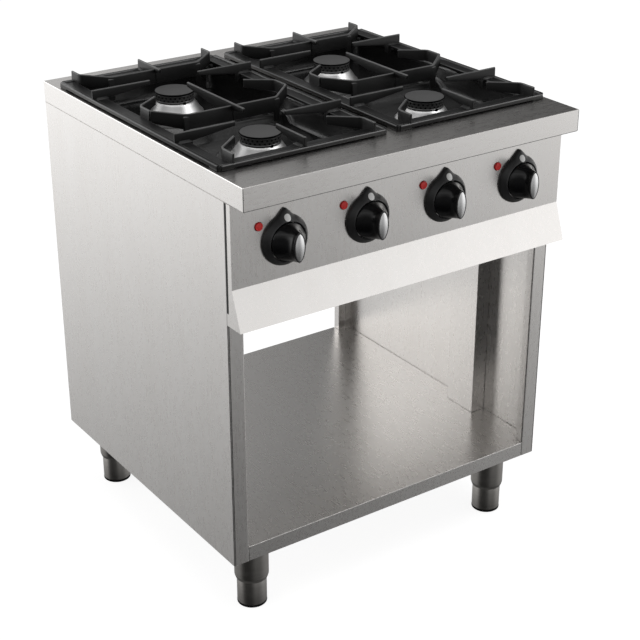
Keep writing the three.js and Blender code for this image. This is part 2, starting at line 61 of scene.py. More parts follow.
# ---- Camera ------------------------------------------------------------------------------
CAMERA_PLACE = (-1.4722, -2.1684, 1.6516)
CAMERA_TURN = -34.78           # degrees; 0 looks along +Y
CAMERA_DIP = 25.47             # degrees below the horizon
LENS = 84.0


def make_camera():
    data = bpy.data.cameras.new("camera")
    data.sensor_width = 36
    data.lens = LENS
    data.clip_end = 50
    camera = bpy.data.objects.new("camera", data)
    camera.location = CAMERA_PLACE
    camera.rotation_euler = (math.radians(90 - CAMERA_DIP), 0, math.radians(CAMERA_TURN))
    scene.collection.objects.link(camera)
    scene.camera = camera


# ---- Node helpers ------------------------------------------------------------------------
class Nodes:
    """A node tree with short calls to add and join nodes."""

    def __init__(self, tree):
        self.tree = tree
        self.place = None

    def add(self, kind, **settings):
        node = self.tree.nodes.new(kind)
        for key, value in settings.items():
            setattr(node, key, value)
        return node

    def feed(self, source, socket):
        """Joins a socket to another, or sets it to a plain value."""
        if isinstance(source, bpy.types.NodeSocket):
            self.tree.links.new(source, socket)
        else:
            socket.default_value = source

    def spread(self, value, low, high, from_low=0.0, from_high=1.0, smooth=False):
        """Maps a value from one range to another, and holds it inside the new one."""
        node = self.add("ShaderNodeMapRange")
        if smooth:
            node.interpolation_type = "SMOOTHSTEP"
        node.inputs["From Min"].default_value = from_low
        node.inputs["From Max"].default_value = from_high
        node.inputs["To Min"].default_value = low
        node.inputs["To Max"].default_value = high
        self.feed(value, node.inputs["Value"])
        return node.outputs[0]

    def math(self, operation, a, b):
        node = self.add("ShaderNodeMath", operation=operation)
        self.feed(a, node.inputs[0])
        self.feed(b, node.inputs[1])
        return node.outputs[0]

    def dot(self, vector, direction):
        node = self.add("ShaderNodeVectorMath", operation="DOT_PRODUCT")
        self.feed(vector, node.inputs[0])
        node.inputs[1].default_value = direction
        return node.outputs["Value"]

    def colours(self, value, *stops):
        """Looks a value up in a ramp of (place, colour) stops."""
        node = self.add("ShaderNodeValToRGB")
        elements = node.color_ramp.elements
        while len(elements) < len(stops):
            elements.new(0.5)
        for element, (place, colour) in zip(elements, stops):
            element.position = place
            element.color = (*colour, 1)
        self.feed(value, node.inputs["Fac"])
        return node.outputs["Color"]


class Finish(Nodes):
    """A Principled material built from noise in object coordinates."""

    def __init__(self, name, **plain):
        self.material = bpy.data.materials.new(name)
        self.material.use_nodes = True
        super().__init__(self.material.node_tree)
        self.shader = self.tree.nodes["Principled BSDF"]
        self.place = self.add("ShaderNodeTexCoord").outputs["Object"]
        for key, value in plain.items():
            self.shader.inputs[key.replace("_", " ")].default_value = value

    def noise(self, scale, detail=2.0):
        """Noise; scale is cells per metre, the same each way or one number for each axis."""
        mapping = self.add("ShaderNodeMapping")
        mapping.inputs["Scale"].default_value = scale if isinstance(scale, tuple) else (scale,) * 3
        self.feed(self.place, mapping.inputs["Vector"])
        node = self.add("ShaderNodeTexNoise")
        node.inputs["Scale"].default_value = 1.0
        node.inputs["Detail"].default_value = detail
        self.feed(mapping.outputs[0], node.inputs["Vector"])
        return node.outputs["Fac"]

    def colour(self, value, dark, light):
        self.feed(self.colours(value, (0.32, dark), (0.68, light)), self.shader.inputs["Base Color"])

    def roughness(self, value, low, high):
        self.feed(self.spread(value, low, high, 0.32, 0.68), self.shader.inputs["Roughness"])

    def bump(self, height, strength, depth):
        node = self.add("ShaderNodeBump")
        node.inputs["Strength"].default_value = strength
        node.inputs["Distance"].default_value = depth
        self.feed(height, node.inputs["Height"])
        self.feed(node.outputs[0], self.shader.inputs["Normal"])


def grey(value, warm=0.0):
    """A grey that leans to red by the share warm."""
    return (value * (1 + warm), value, value * (1 - warm))


# ---- Materials ---------------------------------------------------------------------------
def steel(name, grain, light=0.70, rough=0.28):
    """Satin stainless sheet with soft flecks drawn out a little along the grain axis."""
    n = Finish(name, Metallic=1.0)
    fleck = n.noise(tuple(70 if axis == grain else 190 for axis in "XYZ"), detail=1)
    streak = n.noise(tuple(10 if axis == grain else 420 for axis in "XYZ"), detail=1)
    cloud = n.noise(tuple(5 if axis == grain else 22 for axis in "XYZ"))
    mixed = n.math("ADD", n.math("MULTIPLY", fleck, 0.6), n.math("MULTIPLY", streak, 0.4))
    toned = n.math("ADD", n.math("MULTIPLY", mixed, 0.6), n.math("MULTIPLY", cloud, 0.4))
    n.colour(toned, grey(light * 0.96, 0.030), grey(light * 1.01, 0.022))
    n.roughness(mixed, rough - 0.02, rough + 0.03)
    n.bump(fleck, 0.02, 0.0005)
    return n.material


def grit(name, dark, light, low, high, size=700, strength=0.2, shine=0.5):
    """Black iron or enamel: a slightly uneven tone with a fine grit."""
    n = Finish(name, Specular_IOR_Level=shine)
    fine = n.noise(size, detail=4)
    n.colour(n.noise(24), grey(dark), grey(light))
    n.roughness(fine, low, high)
    n.bump(fine, strength, 0.0005)
    return n.material


def turned_metal(name, dark, light, low, high):
    """Metal turned on a lathe: fine rings round the piece's own Z axis."""
    n = Finish(name, Metallic=1.0)
    flat = n.add("ShaderNodeVectorMath", operation="MULTIPLY")
    n.feed(n.place, flat.inputs[0])
    flat.inputs[1].default_value = (1, 1, 0)
    radius = n.add("ShaderNodeVectorMath", operation="LENGTH")
    n.feed(flat.outputs[0], radius.inputs[0])
    rings = n.add("ShaderNodeTexNoise", noise_dimensions="1D")
    rings.inputs["Scale"].default_value = 1800
    n.feed(radius.outputs["Value"], rings.inputs["W"])
    cloud = n.noise(60)
    mixed = n.math("ADD", n.math("MULTIPLY", rings.outputs["Fac"], 0.7), n.math("MULTIPLY", cloud, 0.3))
    n.colour(mixed, grey(dark, 0.004), grey(light, 0.004))
    n.roughness(mixed, low, high)
    n.bump(mixed, 0.08, 0.0002)
    return n.material


def plastic(name, colour, low, high, grain=1500, strength=0.05):
    """Moulded plastic: a colour with faint smears and a fine grain."""
    n = Finish(name)
    smear = n.noise(35)
    n.colour(smear, colour, tuple(c * 1.2 for c in colour))
    n.roughness(smear, low, high)
    n.bump(n.noise(grain), strength, 0.0003)
    return n.material


def plain_metal(name, dark, light, low, high, scale=(400, 400, 400), tint=(1, 1, 1)):
    """Bare or plated metal, a little uneven in tone and in gloss."""
    n = Finish(name, Metallic=1.0)
    fine = n.noise(scale, detail=3)
    n.colour(fine, tuple(dark * t for t in tint), tuple(light * t for t in tint))
    n.roughness(fine, low, high)
    n.bump(fine, 0.06, 0.0003)
    return n.material


STEEL_UPRIGHT = steel("steel_upright", "Z")
STEEL_ACROSS = steel("steel_across", "X")
STEEL_DEEP = steel("steel_deep", "Y")
IRON = grit("cast_iron", 0.004, 0.007, 0.32, 0.42, size=500, strength=0.10, shine=0.27)
ENAMEL = grit("black_enamel", 0.005, 0.007, 0.20, 0.26, size=60, strength=0.04)
CAP_BLACK = grit("cap_black", 0.048, 0.054, 0.50, 0.62, size=1100, strength=0.1)
CROWN_BLACK = grit("crown_black", 0.042, 0.052, 0.24, 0.32, size=900, strength=0.06, shine=0.7)
# Near-black for the insides of holes and slots, the cap's side wall and the crown's lug: painted deep shade
DEEP_SHADE_BLACK = grit("painted_deep_shade", 0.001, 0.002, 0.8, 0.9, shine=0.04)
# Near-black strips on the side panels: painted shade for the shadow lines at the panel's front edge
SHADE_GAP_BLACK = grit("painted_shade_gap", 0.010, 0.014, 0.7, 0.8)
# Dark grey strips at the worktop's folded edges: painted shade where the edges turn away from the light
SHADE_LINE_GREY = grit("painted_shade_line", 0.035, 0.045, 0.6, 0.7)
ALUMINIUM = turned_metal("burner_aluminium", 0.52, 0.62, 0.34, 0.46)
# Lighter iron for the tops of the grate's bars, ledges and ridges: a painted highlight where the top edges
# catch the light
IRON_TOP_HIGHLIGHT = grit("cast_iron_painted_highlight", 0.055, 0.075, 0.32, 0.42, size=500, strength=0.12)
GLOSS_BLACK = plastic("gloss_black", (0.0045, 0.0045, 0.005), 0.14, 0.20)
SATIN_BLACK = plastic("satin_black", (0.018, 0.018, 0.0185), 0.34, 0.42, strength=0.12)
WHITE_MARK = plastic("white_mark", (0.70, 0.70, 0.69), 0.35, 0.45)
RED = plastic("red_plastic", (0.60, 0.022, 0.020), 0.28, 0.38)
RUBBER = grit("black_rubber", 0.0015, 0.003, 0.6, 0.75, size=900, shine=0.12)
SILVER = plain_metal("silver_trim", 0.62, 0.66, 0.24, 0.28, scale=(40, 40, 40))
LEG_METAL = plain_metal("leg_metal", 0.32, 0.35, 0.30, 0.36, scale=(30, 30, 200), tint=(1.03, 0.99, 0.94))
ZINC = plain_metal("zinc_pipe", 0.36, 0.44, 0.38, 0.5)
BRASS = plain_metal("valve_brass", 0.56, 0.66, 0.28, 0.40, tint=(1, 0.74, 0.34))


# ---- Mesh helpers ------------------------------------------------------------------------
class Mesh:
    """Collects points and faces in millimetres, in several materials, and makes one piece."""

    def __init__(self):
        self.points = []
        self.faces = []
        self.slots = []

    def shell(self, points, faces, slot=0):
        start = len(self.points)
        self.points += points
        self.faces += [tuple(start + i for i in face) for face in faces]
        self.slots += [slot] * len(faces)

    def loft(self, rings, close_start=True, close_end=True, slot=0, strips=None):
        """Joins rings of equal length; a ring of one point ends the shell in a tip.

        strips gives the material of each strip that runs from ring to ring."""
        points = [p for ring in rings for p in ring]
        starts = [sum(len(r) for r in rings[:i]) for i in range(len(rings))]
        faces = []
        for k in range(len(rings) - 1):
            a, b = starts[k], starts[k + 1]
            count = max(len(rings[k]), len(rings[k + 1]))
            for i in range(count):
                j = (i + 1) % count
                if len(rings[k]) == 1:
                    faces.append((a, b + j, b + i))
                elif len(rings[k + 1]) == 1:
                    faces.append((a + i, a + j, b))
                else:
                    faces.append((a + i, a + j, b + j, b + i))
        if close_start and len(rings[0]) > 1:
            faces.append(tuple(range(len(rings[0])))[::-1])
        if close_end and len(rings[-1]) > 1:
            faces.append(tuple(starts[-1] + i for i in range(len(rings[-1]))))
        self.shell(points, faces, slot)
        if strips:
            sides = len(strips) * (len(rings) - 1)
            start = len(self.slots) - len(faces)
            self.slots[start:start + sides] = list(strips) * (len(rings) - 1)

    def lathe(self, profile, segments=64, spot=(0, 0, 0), forward=False, slot=0, closed=False):
        """Turns (radius, height) points round Z, or round the axis towards the front."""
        rings = []
        for radius, height in profile + (profile[:1] if closed else []):
            ring = []
            for i in range(segments if radius > 0 else 1):
                angle = 2 * math.pi * i / segments
                across, other = radius * math.sin(angle), radius * math.cos(angle)
                local = (across, -height, other) if forward else (across, other, height)
                ring.append(tuple(s + v for s, v in zip(spot, local)))
            rings.append(ring)
        self.loft(rings, close_start=not closed, close_end=not closed, slot=slot)

    def box(self, low, high, edge=0.0, slot=0):
        """A block whose lower and upper rims are cut back by edge."""
        def ring(z, inset):
            x0, y0, x1, y1 = low[0] + inset, low[1] + inset, high[0] - inset, high[1] - inset
            return [(x0, y0, z), (x1, y0, z), (x1, y1, z), (x0, y1, z)]

        rings = [ring(low[2] + edge, 0), ring(high[2] - edge, 0)]
        if edge:
            rings = [ring(low[2], edge)] + rings + [ring(high[2], edge)]
        self.loft(rings, slot=slot)

    def finish(self, name, materials, body, nodes=(), origin=(0, 0, 0), sharp=32):
        """Makes the piece, puts it on its body, and lets it stand for its CAD nodes."""
        mesh = bpy.data.meshes.new(name)
        mesh.from_pydata([tuple(v * MM for v in p) for p in self.points], [], self.faces)
        for material in materials:
            mesh.materials.append(material)
        mesh.polygons.foreach_set("material_index", self.slots)
        work = bmesh.new()
        work.from_mesh(mesh)
        bmesh.ops.remove_doubles(work, verts=work.verts, dist=1e-6)
        bmesh.ops.recalc_face_normals(work, faces=work.faces)
        work.to_mesh(mesh)
        work.free()
        mesh.polygons.foreach_set("use_smooth", [True] * len(mesh.polygons))
        mesh.set_sharp_from_angle(angle=math.radians(sharp))
        obj = bpy.data.objects.new(name, mesh)
        obj.location = origin
        scene.collection.objects.link(obj)
        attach(obj, body)
        if nodes:
            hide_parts(*nodes)
        return obj


def flat_normals(obj):
    """Keeps wide faces flat-looking where they run into a rounded edge."""
    normals = obj.modifiers.new("normals", "WEIGHTED_NORMAL")
    normals.weight = 100
    normals.keep_sharp = True


def fillet(points, size, steps=3):
    """Rounds the inner corners of an open line of points with short curves."""
    line = [points[0]]
    for before, corner, after in zip(points, points[1:], points[2:]):
        ends = []
        for other in (before, after):
            way = Vector(other) - Vector(corner)
            reach = min(size, way.length * 0.45)
            ends.append(Vector(corner) + way * (reach / way.length))
        for k in range(steps + 1):
            t = k / steps
            curve = ends[0] * (1 - t) ** 2 + Vector(corner) * (2 * t * (1 - t)) + ends[1] * t ** 2
            line.append(tuple(curve))
    line.append(points[-1])
    return line


# ---- CAD nodes that stay -----------------------------------------------------------------
def dress(node, material, edge=0.8, angle=12, smooth=False):
    """Gives a CAD node its material and cuts back its sharp edges."""
    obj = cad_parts[node]
    obj.data.materials.clear()
    obj.data.materials.append(material)
    obj.data.polygons.foreach_set("use_smooth", [smooth] * len(obj.data.polygons))
    weld = obj.modifiers.new("weld", "WELD")
    weld.merge_threshold = 1e-5
    flats = obj.modifiers.new("flats", "DECIMATE")
    flats.decimate_type = "DISSOLVE"
    flats.angle_limit = math.radians(0.5)
    bevel = obj.modifiers.new("bevel", "BEVEL")
    bevel.width = edge * MM
    bevel.segments = 2
    bevel.limit_method = "ANGLE"
    bevel.angle_limit = math.radians(angle)
    bevel.harden_normals = smooth


CASING = {
    "worktop": (STEEL_ACROSS, 1.5),
    "bottom_shelf": (STEEL_DEEP, 0.7),
    "base_rail_front": (STEEL_ACROSS, 0.6),
    "base_rail_rear": (STEEL_ACROSS, 0.6),
    "control_panel": (STEEL_UPRIGHT, 0.5),
    "back_panel": (STEEL_UPRIGHT, 0.4),
    "compartment_floor": (STEEL_DEEP, 0.5),
    "upright_channel_left": (STEEL_UPRIGHT, 0.5),
    "upright_channel_right": (STEEL_UPRIGHT, 0.5),
}


def dress_casing():
    for node, (material, edge) in CASING.items():
        dress(node, material, edge)
    for number in NUMBERS:
        dress(f"valve_stem_{number}", ZINC, 0.3, angle=35, smooth=True)
        dress(f"gas_valve_{number}", BRASS, 0.3, angle=35, smooth=True)
    dress("gas_rail", ZINC, 0.3, angle=35, smooth=True)


# ---- Side panels -------------------------------------------------------------------------
FLANGE = 31
FLANGE_RETURN = 18
SIDE_SHEET = 1.2
BEND = 2.6
UNDER_RIM = 0.28               # the panels reach this far past their nodes, up to the worktop


def folded_outline(inner, outer, front, rear, reach, inset):
    """Outline of one face of the folded sheet; reach is where its edges turn in again, or 0."""
    line = [(inner + inset, front + inset), (outer - inset, front + inset),
            (outer - inset, rear - inset), (inner + inset, rear - inset)]
    if reach:
        line = [(inner + inset, front + reach)] + line + [(inner + inset, rear - reach)]
    return fillet(line, BEND - inset, 4)


def make_side_panel(side, sign):
    low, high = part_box(f"side_panel_{side}")
    front, rear = low.y / MM, high.y / MM
    bottom, top = low.z / MM, high.z / MM + UNDER_RIM
    outer = max(abs(low.x), abs(high.x)) / MM
    inner = outer - FLANGE
    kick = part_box("control_panel")[0].z / MM
    mesh = Mesh()
    for z0, z1, reach in ((bottom, kick, FLANGE_RETURN), (kick, top, 0)):
        outline = folded_outline(inner, outer, front, rear, reach, 0)
        outline += folded_outline(inner, outer, front, rear, reach, SIDE_SHEET)[::-1]
        mesh.loft([[(sign * x, y, z) for x, y in outline] for z in (z0, z1)])

    # Painted shade: dark strips along the cheek of the control panel, and down the front fold, where shadow
    # lines fall
    shade_strips = [
        (outer - 0.6, front - 6, kick + 22, outer + 0.04, front - 0.2, top - 0.6),
        (outer - BEND - 1.0, front - 0.05, bottom + 0.4, outer - BEND + 0.4, front + 0.5, kick - 1),
    ]
    for x0, y0, z0, x1, y1, z1 in shade_strips:
        xs = sorted((sign * x0, sign * x1))
        mesh.box((xs[0], y0, z0), (xs[1], y1, z1), slot=1)
    obj = mesh.finish(f"folded_side_{side}", [STEEL_UPRIGHT, SHADE_GAP_BLACK], "root",
                      [f"side_panel_{side}"])
    flat_normals(obj)


def make_side_panels():
    for side, sign in (("left", -1), ("right", 1)):
        make_side_panel(side, sign)


# ---- Painted shade along the worktop's folds ---------------------------------------------
PROUD = 0.03                   # a painted shade line stands this far out of the sheet
LINE_DEPTH = 0.3


def make_worktop_shade_lines():
    low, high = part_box("worktop")
    left, front, bottom = low.x / MM, low.y / MM, low.z / MM
    right, top = high.x / MM, high.z / MM
    mesh = Mesh()
    # Strips down the two front corners and along the lower edge of the front face, in painted shade
    for x0, x1 in ((left + 0.1, left + 1.2), (right - 1.2, right - 0.1)):
        mesh.box((x0, front - PROUD, bottom + 0.8), (x1, front + LINE_DEPTH, top - 1.2))
    mesh.box((left + 1, front - PROUD, bottom + 0.05), (right - 1, front + LINE_DEPTH, bottom + 0.9))
    mesh.finish("worktop_painted_shade", [SHADE_LINE_GREY], "root")


# ---- Fastenings on the back --------------------------------------------------------------
SCREW_X = (-300, -100, 100, 300)
SCREW_INSET = 13
SCREW_HEAD = [(0, 0), (3.9, 0), (3.9, -0.5), (3.2, -1.3), (1.6, -1.75), (0, -1.8)]
SLOT_LONG = 1.9
SLOT_SHORT = 0.35
INLET_RADIUS = 10.5
NUT_BORE = 11.0
NUT_FLAT = 15.0                # from the nut's axis to a flat
NUT_BASE = 0.05
NUT_EDGE = 1.3
NUT_TOP = 1.8
NUT_CHAMFER = 0.9


def make_back_screws():
    low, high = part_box("back_panel")
    face = high.y / MM
    rows = (low.z / MM + SCREW_INSET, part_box("worktop")[0].z / MM - SCREW_INSET)
    mesh = Mesh()
    for x in SCREW_X:
        for z in rows:
            mesh.lathe(fillet(SCREW_HEAD, 0.4, 2), 24, (x, face, z), forward=True)
            for half_x, half_z in ((SLOT_LONG, SLOT_SHORT), (SLOT_SHORT, SLOT_LONG)):
                # The screw slots are boxes in painted deep shade
                mesh.box((x - half_x, face + 1.2, z - half_z), (x + half_x, face + 1.83, z + half_z), slot=1)
    mesh.finish("back_screws", [ZINC, DEEP_SHADE_BLACK], "root")


def nut_radius(degrees):
    """Radius of the nut's six-sided outline."""
    return NUT_FLAT / math.cos(math.radians((degrees + 30) % 60 - 30))


def make_inlet_nut():
    """The nut that holds the gas inlet in the back panel."""
    low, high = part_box("gas_rail")
    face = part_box("back_panel")[1].y / MM
    centre_x = high.x / MM - INLET_RADIUS
    centre_z = (low.z + high.z) / 2 / MM

    def ring(out, trim=None):
        """The bore at a height, or the outline cut back by trim."""
        points = []
        for degrees in range(0, 360, 10):
            radius = NUT_BORE if trim is None else nut_radius(degrees) - trim
            x = centre_x + radius * math.cos(math.radians(degrees))
            z = centre_z + radius * math.sin(math.radians(degrees))
            points.append((x, face + out, z))
        return points

    rings = [ring(NUT_BASE), ring(NUT_BASE, 0), ring(NUT_EDGE, 0), ring(NUT_TOP, NUT_CHAMFER), ring(NUT_TOP)]
    mesh = Mesh()
    mesh.loft(rings + rings[:1], close_start=False, close_end=False)
    mesh.finish("inlet_nut", [BRASS], "root")


# ---- Legs and feet -----------------------------------------------------------------------
TUBE_BORE = 26
NECK_RADIUS = 23
NECK_BORE = 20
PAD_HEIGHT = 5.6
LEG_SEGMENTS = 72


def make_leg(name):
    low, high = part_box(f"leg_{name}")
    foot_low, foot_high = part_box(f"foot_{name}")
    centre = middle(f"leg_{name}")
    origin = (centre.x, centre.y, 0)
    radius = (high.x - low.x) / 2 / MM
    foot = (foot_high.x - foot_low.x) / 2 / MM
    top, bottom, inside = high.z / MM, low.z / MM, foot_high.z / MM

    tube = Mesh()
    bore = [(0, top - 6), (TUBE_BORE, top - 6), (TUBE_BORE, bottom + 6)]
    outline = [(foot + 0.6, bottom), (radius - 2.2, bottom), (radius, bottom + 7), (radius, top - 3),
               (radius - 0.8, top - 2.2), (radius - 0.8, top), (0, top)]
    tube.lathe(bore + fillet(outline, 1.2), LEG_SEGMENTS)
    tube.finish(f"leg_tube_{name}", [LEG_METAL], "root", [f"leg_{name}"], origin)

    screw = Mesh()
    shank = [(foot - 0.9, PAD_HEIGHT - 0.4), (foot - 0.2, PAD_HEIGHT + 0.3), (foot - 0.2, bottom - 0.4),
             (NECK_RADIUS, bottom - 0.4), (NECK_RADIUS, inside)]
    hollow = [(NECK_BORE, PAD_HEIGHT - 0.6)] + fillet(shank, 0.4) + [(NECK_BORE, inside)]
    screw.lathe(hollow, LEG_SEGMENTS, closed=True)
    pad = [(0, 0), (foot - 1.6, 0), (foot, 1.4), (foot, PAD_HEIGHT - 0.6), (foot - 1, PAD_HEIGHT - 0.2),
           (0, PAD_HEIGHT)]
    screw.lathe(fillet(pad, 0.6), LEG_SEGMENTS, slot=1)
    screw.finish(f"leg_foot_{name}", [LEG_METAL, RUBBER], f"foot_{name}",
                 [f"foot_{name}"], origin)


def make_legs():
    for row, side in CORNERS:
        make_leg(f"{row}_{side}")


# ---- Burners -----------------------------------------------------------------------------
# Heights are from the worktop's upper face
CUP_BASE = -41.7
CROWN_TOP = -3.4
PORTS = 26
PORT_ROWS = (-7.8, -13.2)
PORT_RADIUS = 1.8
PORT_STEPS = 8
BURNER_SEGMENTS = 96


def port_disc(mesh, angle, height, wall):
    """A flame port: a short plug that fills a drilled hole with painted shade."""
    rings = []
    for depth, size in ((-0.6, PORT_RADIUS), (0.04, PORT_RADIUS), (0.04, 0)):
        ring = []
        for i in range(PORT_STEPS if size else 1):
            turn = 2 * math.pi * i / PORT_STEPS
            side = size * math.cos(turn)
            r = wall + depth
            x = r * math.sin(angle) + side * math.cos(angle)
            y = r * math.cos(angle) - side * math.sin(angle)
            ring.append((x, y, height + size * math.sin(turn)))
        rings.append(ring)
    mesh.loft(rings, slot=1)


def make_cup(name, origin):
    low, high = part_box(f"burner_cup_{name}")
    skirt = (high.x - low.x) / 2 / MM
    mesh = Mesh()
    throat = [(0, -80), (13, -80), (13, -62), (33, -54)]
    cone = [(33, CUP_BASE), (skirt - 0.4, CUP_BASE), (skirt, CUP_BASE + 0.8), (skirt - 0.8, CUP_BASE + 2),
            (48, -35.5), (42.5, -27.5), (38.6, -21.6), (36.6, -19.4), (34.5, -18.3), (31, -18.4), (31, -50),
            (0, -50)]
    mesh.lathe(throat + fillet(cone, 1.6), BURNER_SEGMENTS)
    mesh.finish(f"burner_skirt_{name}", [ALUMINIUM], "root",
                [f"burner_cup_{name}"], origin)


def make_crown(name, origin, crown):
    mesh = Mesh()
    wall = crown - 1.0
    hollow = [(0, -7), (28, -7), (28, -26)]
    band = [(30.5, -26), (30.5, -18), (crown - 0.4, -18), (crown, -17.4), (crown, -16.2), (wall, -15.4),
            (wall, -6), (crown - 0.3, -5.2), (crown - 0.3, -4.2), (crown - 2.5, CROWN_TOP), (0, CROWN_TOP)]
    mesh.lathe(hollow + fillet(band, 0.5), BURNER_SEGMENTS)
    for shift, height in enumerate(PORT_ROWS):
        for i in range(PORTS):
            port_disc(mesh, 2 * math.pi * (i + shift / 2) / PORTS, height, wall)
    # Small lug at the front, under the crown's edge, in painted deep shade
    mesh.box((-2.4, -crown - 1.2, -20.5), (2.4, -crown + 4, -15.5), 0.4, slot=1)
    mesh.finish(f"burner_ring_{name}", [CROWN_BLACK, DEEP_SHADE_BLACK], f"crown_{name}",
                [f"burner_crown_{name}"], origin)


def make_cap(name, origin, cap):
    mesh = Mesh()
    disc = [(0, -3), (cap - 0.8, -3), (cap, -2.3), (cap, -1.2), (cap - 0.9, -0.5), (0, -0.5)]
    # The cap's body and side wall take painted deep shade; only its top plate keeps the cap's own black
    mesh.lathe(fillet(disc, 0.4), BURNER_SEGMENTS, slot=1)
    mesh.lathe([(0, -0.6), (cap - 1.2, -0.6), (cap - 2.2, -0.25), (cap - 9, -0.05), (0, 0)], BURNER_SEGMENTS)
    mesh.finish(f"burner_lid_{name}", [CAP_BLACK, DEEP_SHADE_BLACK], f"cap_{name}",
                [f"burner_cap_{name}"], origin)


def make_burners():
    for row, side in CORNERS:
        name = f"{row}_{side}"
        low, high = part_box(f"burner_cap_{name}")
        centre = middle(f"burner_cap_{name}")
        origin = (centre.x, centre.y, TOP)
        cap = (high.x - low.x) / 2 / MM
        make_cup(name, origin)
        make_crown(name, origin, cap - 1)
        make_cap(name, origin, cap)


# ---- Drip pans ---------------------------------------------------------------------------
PAN_FLANGE = 8
PAN_DEPTH = 48
PAN_CORNER = 20
PAN_COLUMNS = 6
PAN_ROWS = 96
CORNER_STEPS = 8
RIDGE_HALF = 36
RIDGE_HEIGHT = 16
SHEET = 1.2
WALL_STEPS = (0, 4, 8, 12, 15, 17, 18.4, 19.2, 19.8)
WALL_RIM = 0.6
FLANGE_LOW = 0.3
FLANGE_EDGE = ((20.3, 1.3), (21.2, 1.75), (26.8, 1.8), (27.7, 1.5), (28, 0.8), (28, FLANGE_LOW))
SEAT = [(36, -SHEET), (80.5, -SHEET), (80.5, 0), (79, 0.25), (75.5, 2.6), (74, 3), (43, 3), (41.6, 3.5),
        (40, 6), (36, 6)]
HOLE_PLACE = (-64, -26, 3)
HOLE_RIM = [(0, 0.04), (2.6, 0.04), (3.0, 0.3), (3.8, 0.3), (4.4, 0)]


def ridge_height(distance):
    """Height of the rounded ridge between the wells, at a distance from its middle."""
    t = min(1.0, abs(distance) / RIDGE_HALF)
    return RIDGE_HEIGHT * (0.5 + 0.5 * math.cos(math.pi * t ** 1.25))


def core_edge(xs, ys):
    """Points round the pan's core rectangle, each with the direction straight out of it in degrees."""
    left, right, front, rear = xs[0], xs[-1], ys[0], ys[-1]
    sides = [
        ([(x, front) for x in xs[1:-1]], (right, front), -90),
        ([(right, y) for y in ys[1:-1]], (right, rear), 0),
        ([(x, rear) for x in xs[-2:0:-1]], (left, rear), 90),
        ([(left, y) for y in ys[-2:0:-1]], (left, front), 180),
    ]
    edge = []
    for points, corner, turn in sides:
        edge += [(x, y, turn) for x, y in points]
        edge += [(*corner, turn + 90 * k / CORNER_STEPS) for k in range(CORNER_STEPS + 1)]
    return edge


def pan_shell(mesh, xs, ys, top, ridge):
    """The pressed sheet: a core grid, and rings that grow outwards from it to the flange."""
    edge = core_edge(xs, ys)

    def edge_ring(out, height_at):
        ring = []
        for x, y, turn in edge:
            way = math.radians(turn)
            ring_y = y + out * math.sin(way)
            ring.append((x + out * math.cos(way), ring_y, top + height_at(ring_y)))
        return ring

    for under, lift in ((0.0, 0.0), (SHEET, 0.3)):
        def floor(y):
            return -PAN_DEPTH + ridge_height(y - ridge) - under

        rings = []
        for out in WALL_STEPS:
            rise = (out / PAN_CORNER) ** 7
            rings.append(edge_ring(out - lift * 2, lambda y: floor(y) + (WALL_RIM - floor(y)) * rise))
        if under:
            for out in (PAN_CORNER + 1, PAN_CORNER + PAN_FLANGE):
                rings.append(edge_ring(out, lambda y: FLANGE_LOW))
        else:
            for out, height in FLANGE_EDGE:
                rings.append(edge_ring(out, lambda y: height))
        mesh.loft(rings, close_start=False, close_end=False)
        wide = len(xs)
        cells = [(r * wide + c, r * wide + c + 1, (r + 1) * wide + c + 1, (r + 1) * wide + c)
                 for r in range(PAN_ROWS) for c in range(PAN_COLUMNS)]
        mesh.shell([(x, y, top + floor(y)) for y in ys for x in xs], cells)


def pan_seat(mesh, x, y, z):
    """The raised seat under a burner, closed below, with a small hole beside it."""
    mesh.lathe(fillet(SEAT, 0.8, 2), 96, (x, y, z), closed=True)
    mesh.lathe([(0, -SHEET - 0.4), (37, -SHEET - 0.4), (37, -SHEET), (0, -SHEET)], 48, (x, y, z))
    hole = (x + HOLE_PLACE[0], y + HOLE_PLACE[1], z + HOLE_PLACE[2])
    mesh.lathe(HOLE_RIM, 20, hole)


def make_pans():
    for side in SIDES:
        low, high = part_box(f"drip_pan_{side}")
        inset = PAN_FLANGE + PAN_CORNER
        x0, x1 = low.x / MM + inset, high.x / MM - inset
        y0, y1 = low.y / MM + inset, high.y / MM - inset
        xs = [x0 + (x1 - x0) * i / PAN_COLUMNS for i in range(PAN_COLUMNS + 1)]
        ys = [y0 + (y1 - y0) * i / PAN_ROWS for i in range(PAN_ROWS + 1)]
        top = TOP / MM
        burners = [middle(f"burner_cup_{row}_{side}") / MM for row in ROWS]
        ridge = sum(burner.y for burner in burners) / 2
        mesh = Mesh()
        pan_shell(mesh, xs, ys, top, ridge)
        for burner in burners:
            pan_seat(mesh, burner.x, burner.y, top - PAN_DEPTH)
        mesh.finish(f"enamel_pan_{side}", [ENAMEL], "root", [f"drip_pan_{side}"], sharp=40)


# ---- Cast-iron grates --------------------------------------------------------------------
RAIL = 28
RIDGE = 8
NOTCH = 7
LEDGE_HIGH = 8
RAIL_LOW = 3
RAIL_HIGH = 10
FINGER_REACH = 50              # from the burner's axis to a finger's tip
FIN = 29                       # straight fin, in from the side of the grate
KINK = 76                      # where a diagonal ends, in from the side of the grate
# Lower and upper edges of a bar above the worktop
ROOT = (5, 26.5)
TIP = (19, 26.5)
DIAGONAL_END = (12, 26.5)
BRIDGE = (-5, 22)
BRIDGE_LEG = (-22, 18)
# Start, turn and end of the diagonals, and of the bridges, behind the front of the grate
DIAGONALS = ((1, 37, 76), (270, 306, 339))
BRIDGES = ((567, 536, 503), (270, 270, 230))
BAR_THICK = 4.8
BAR_END = 1.0                  # a bar narrows over this length at its ends
POST = [(0, 0.3), (4, 0.3), (4, 8.2), (0, 8.6)]
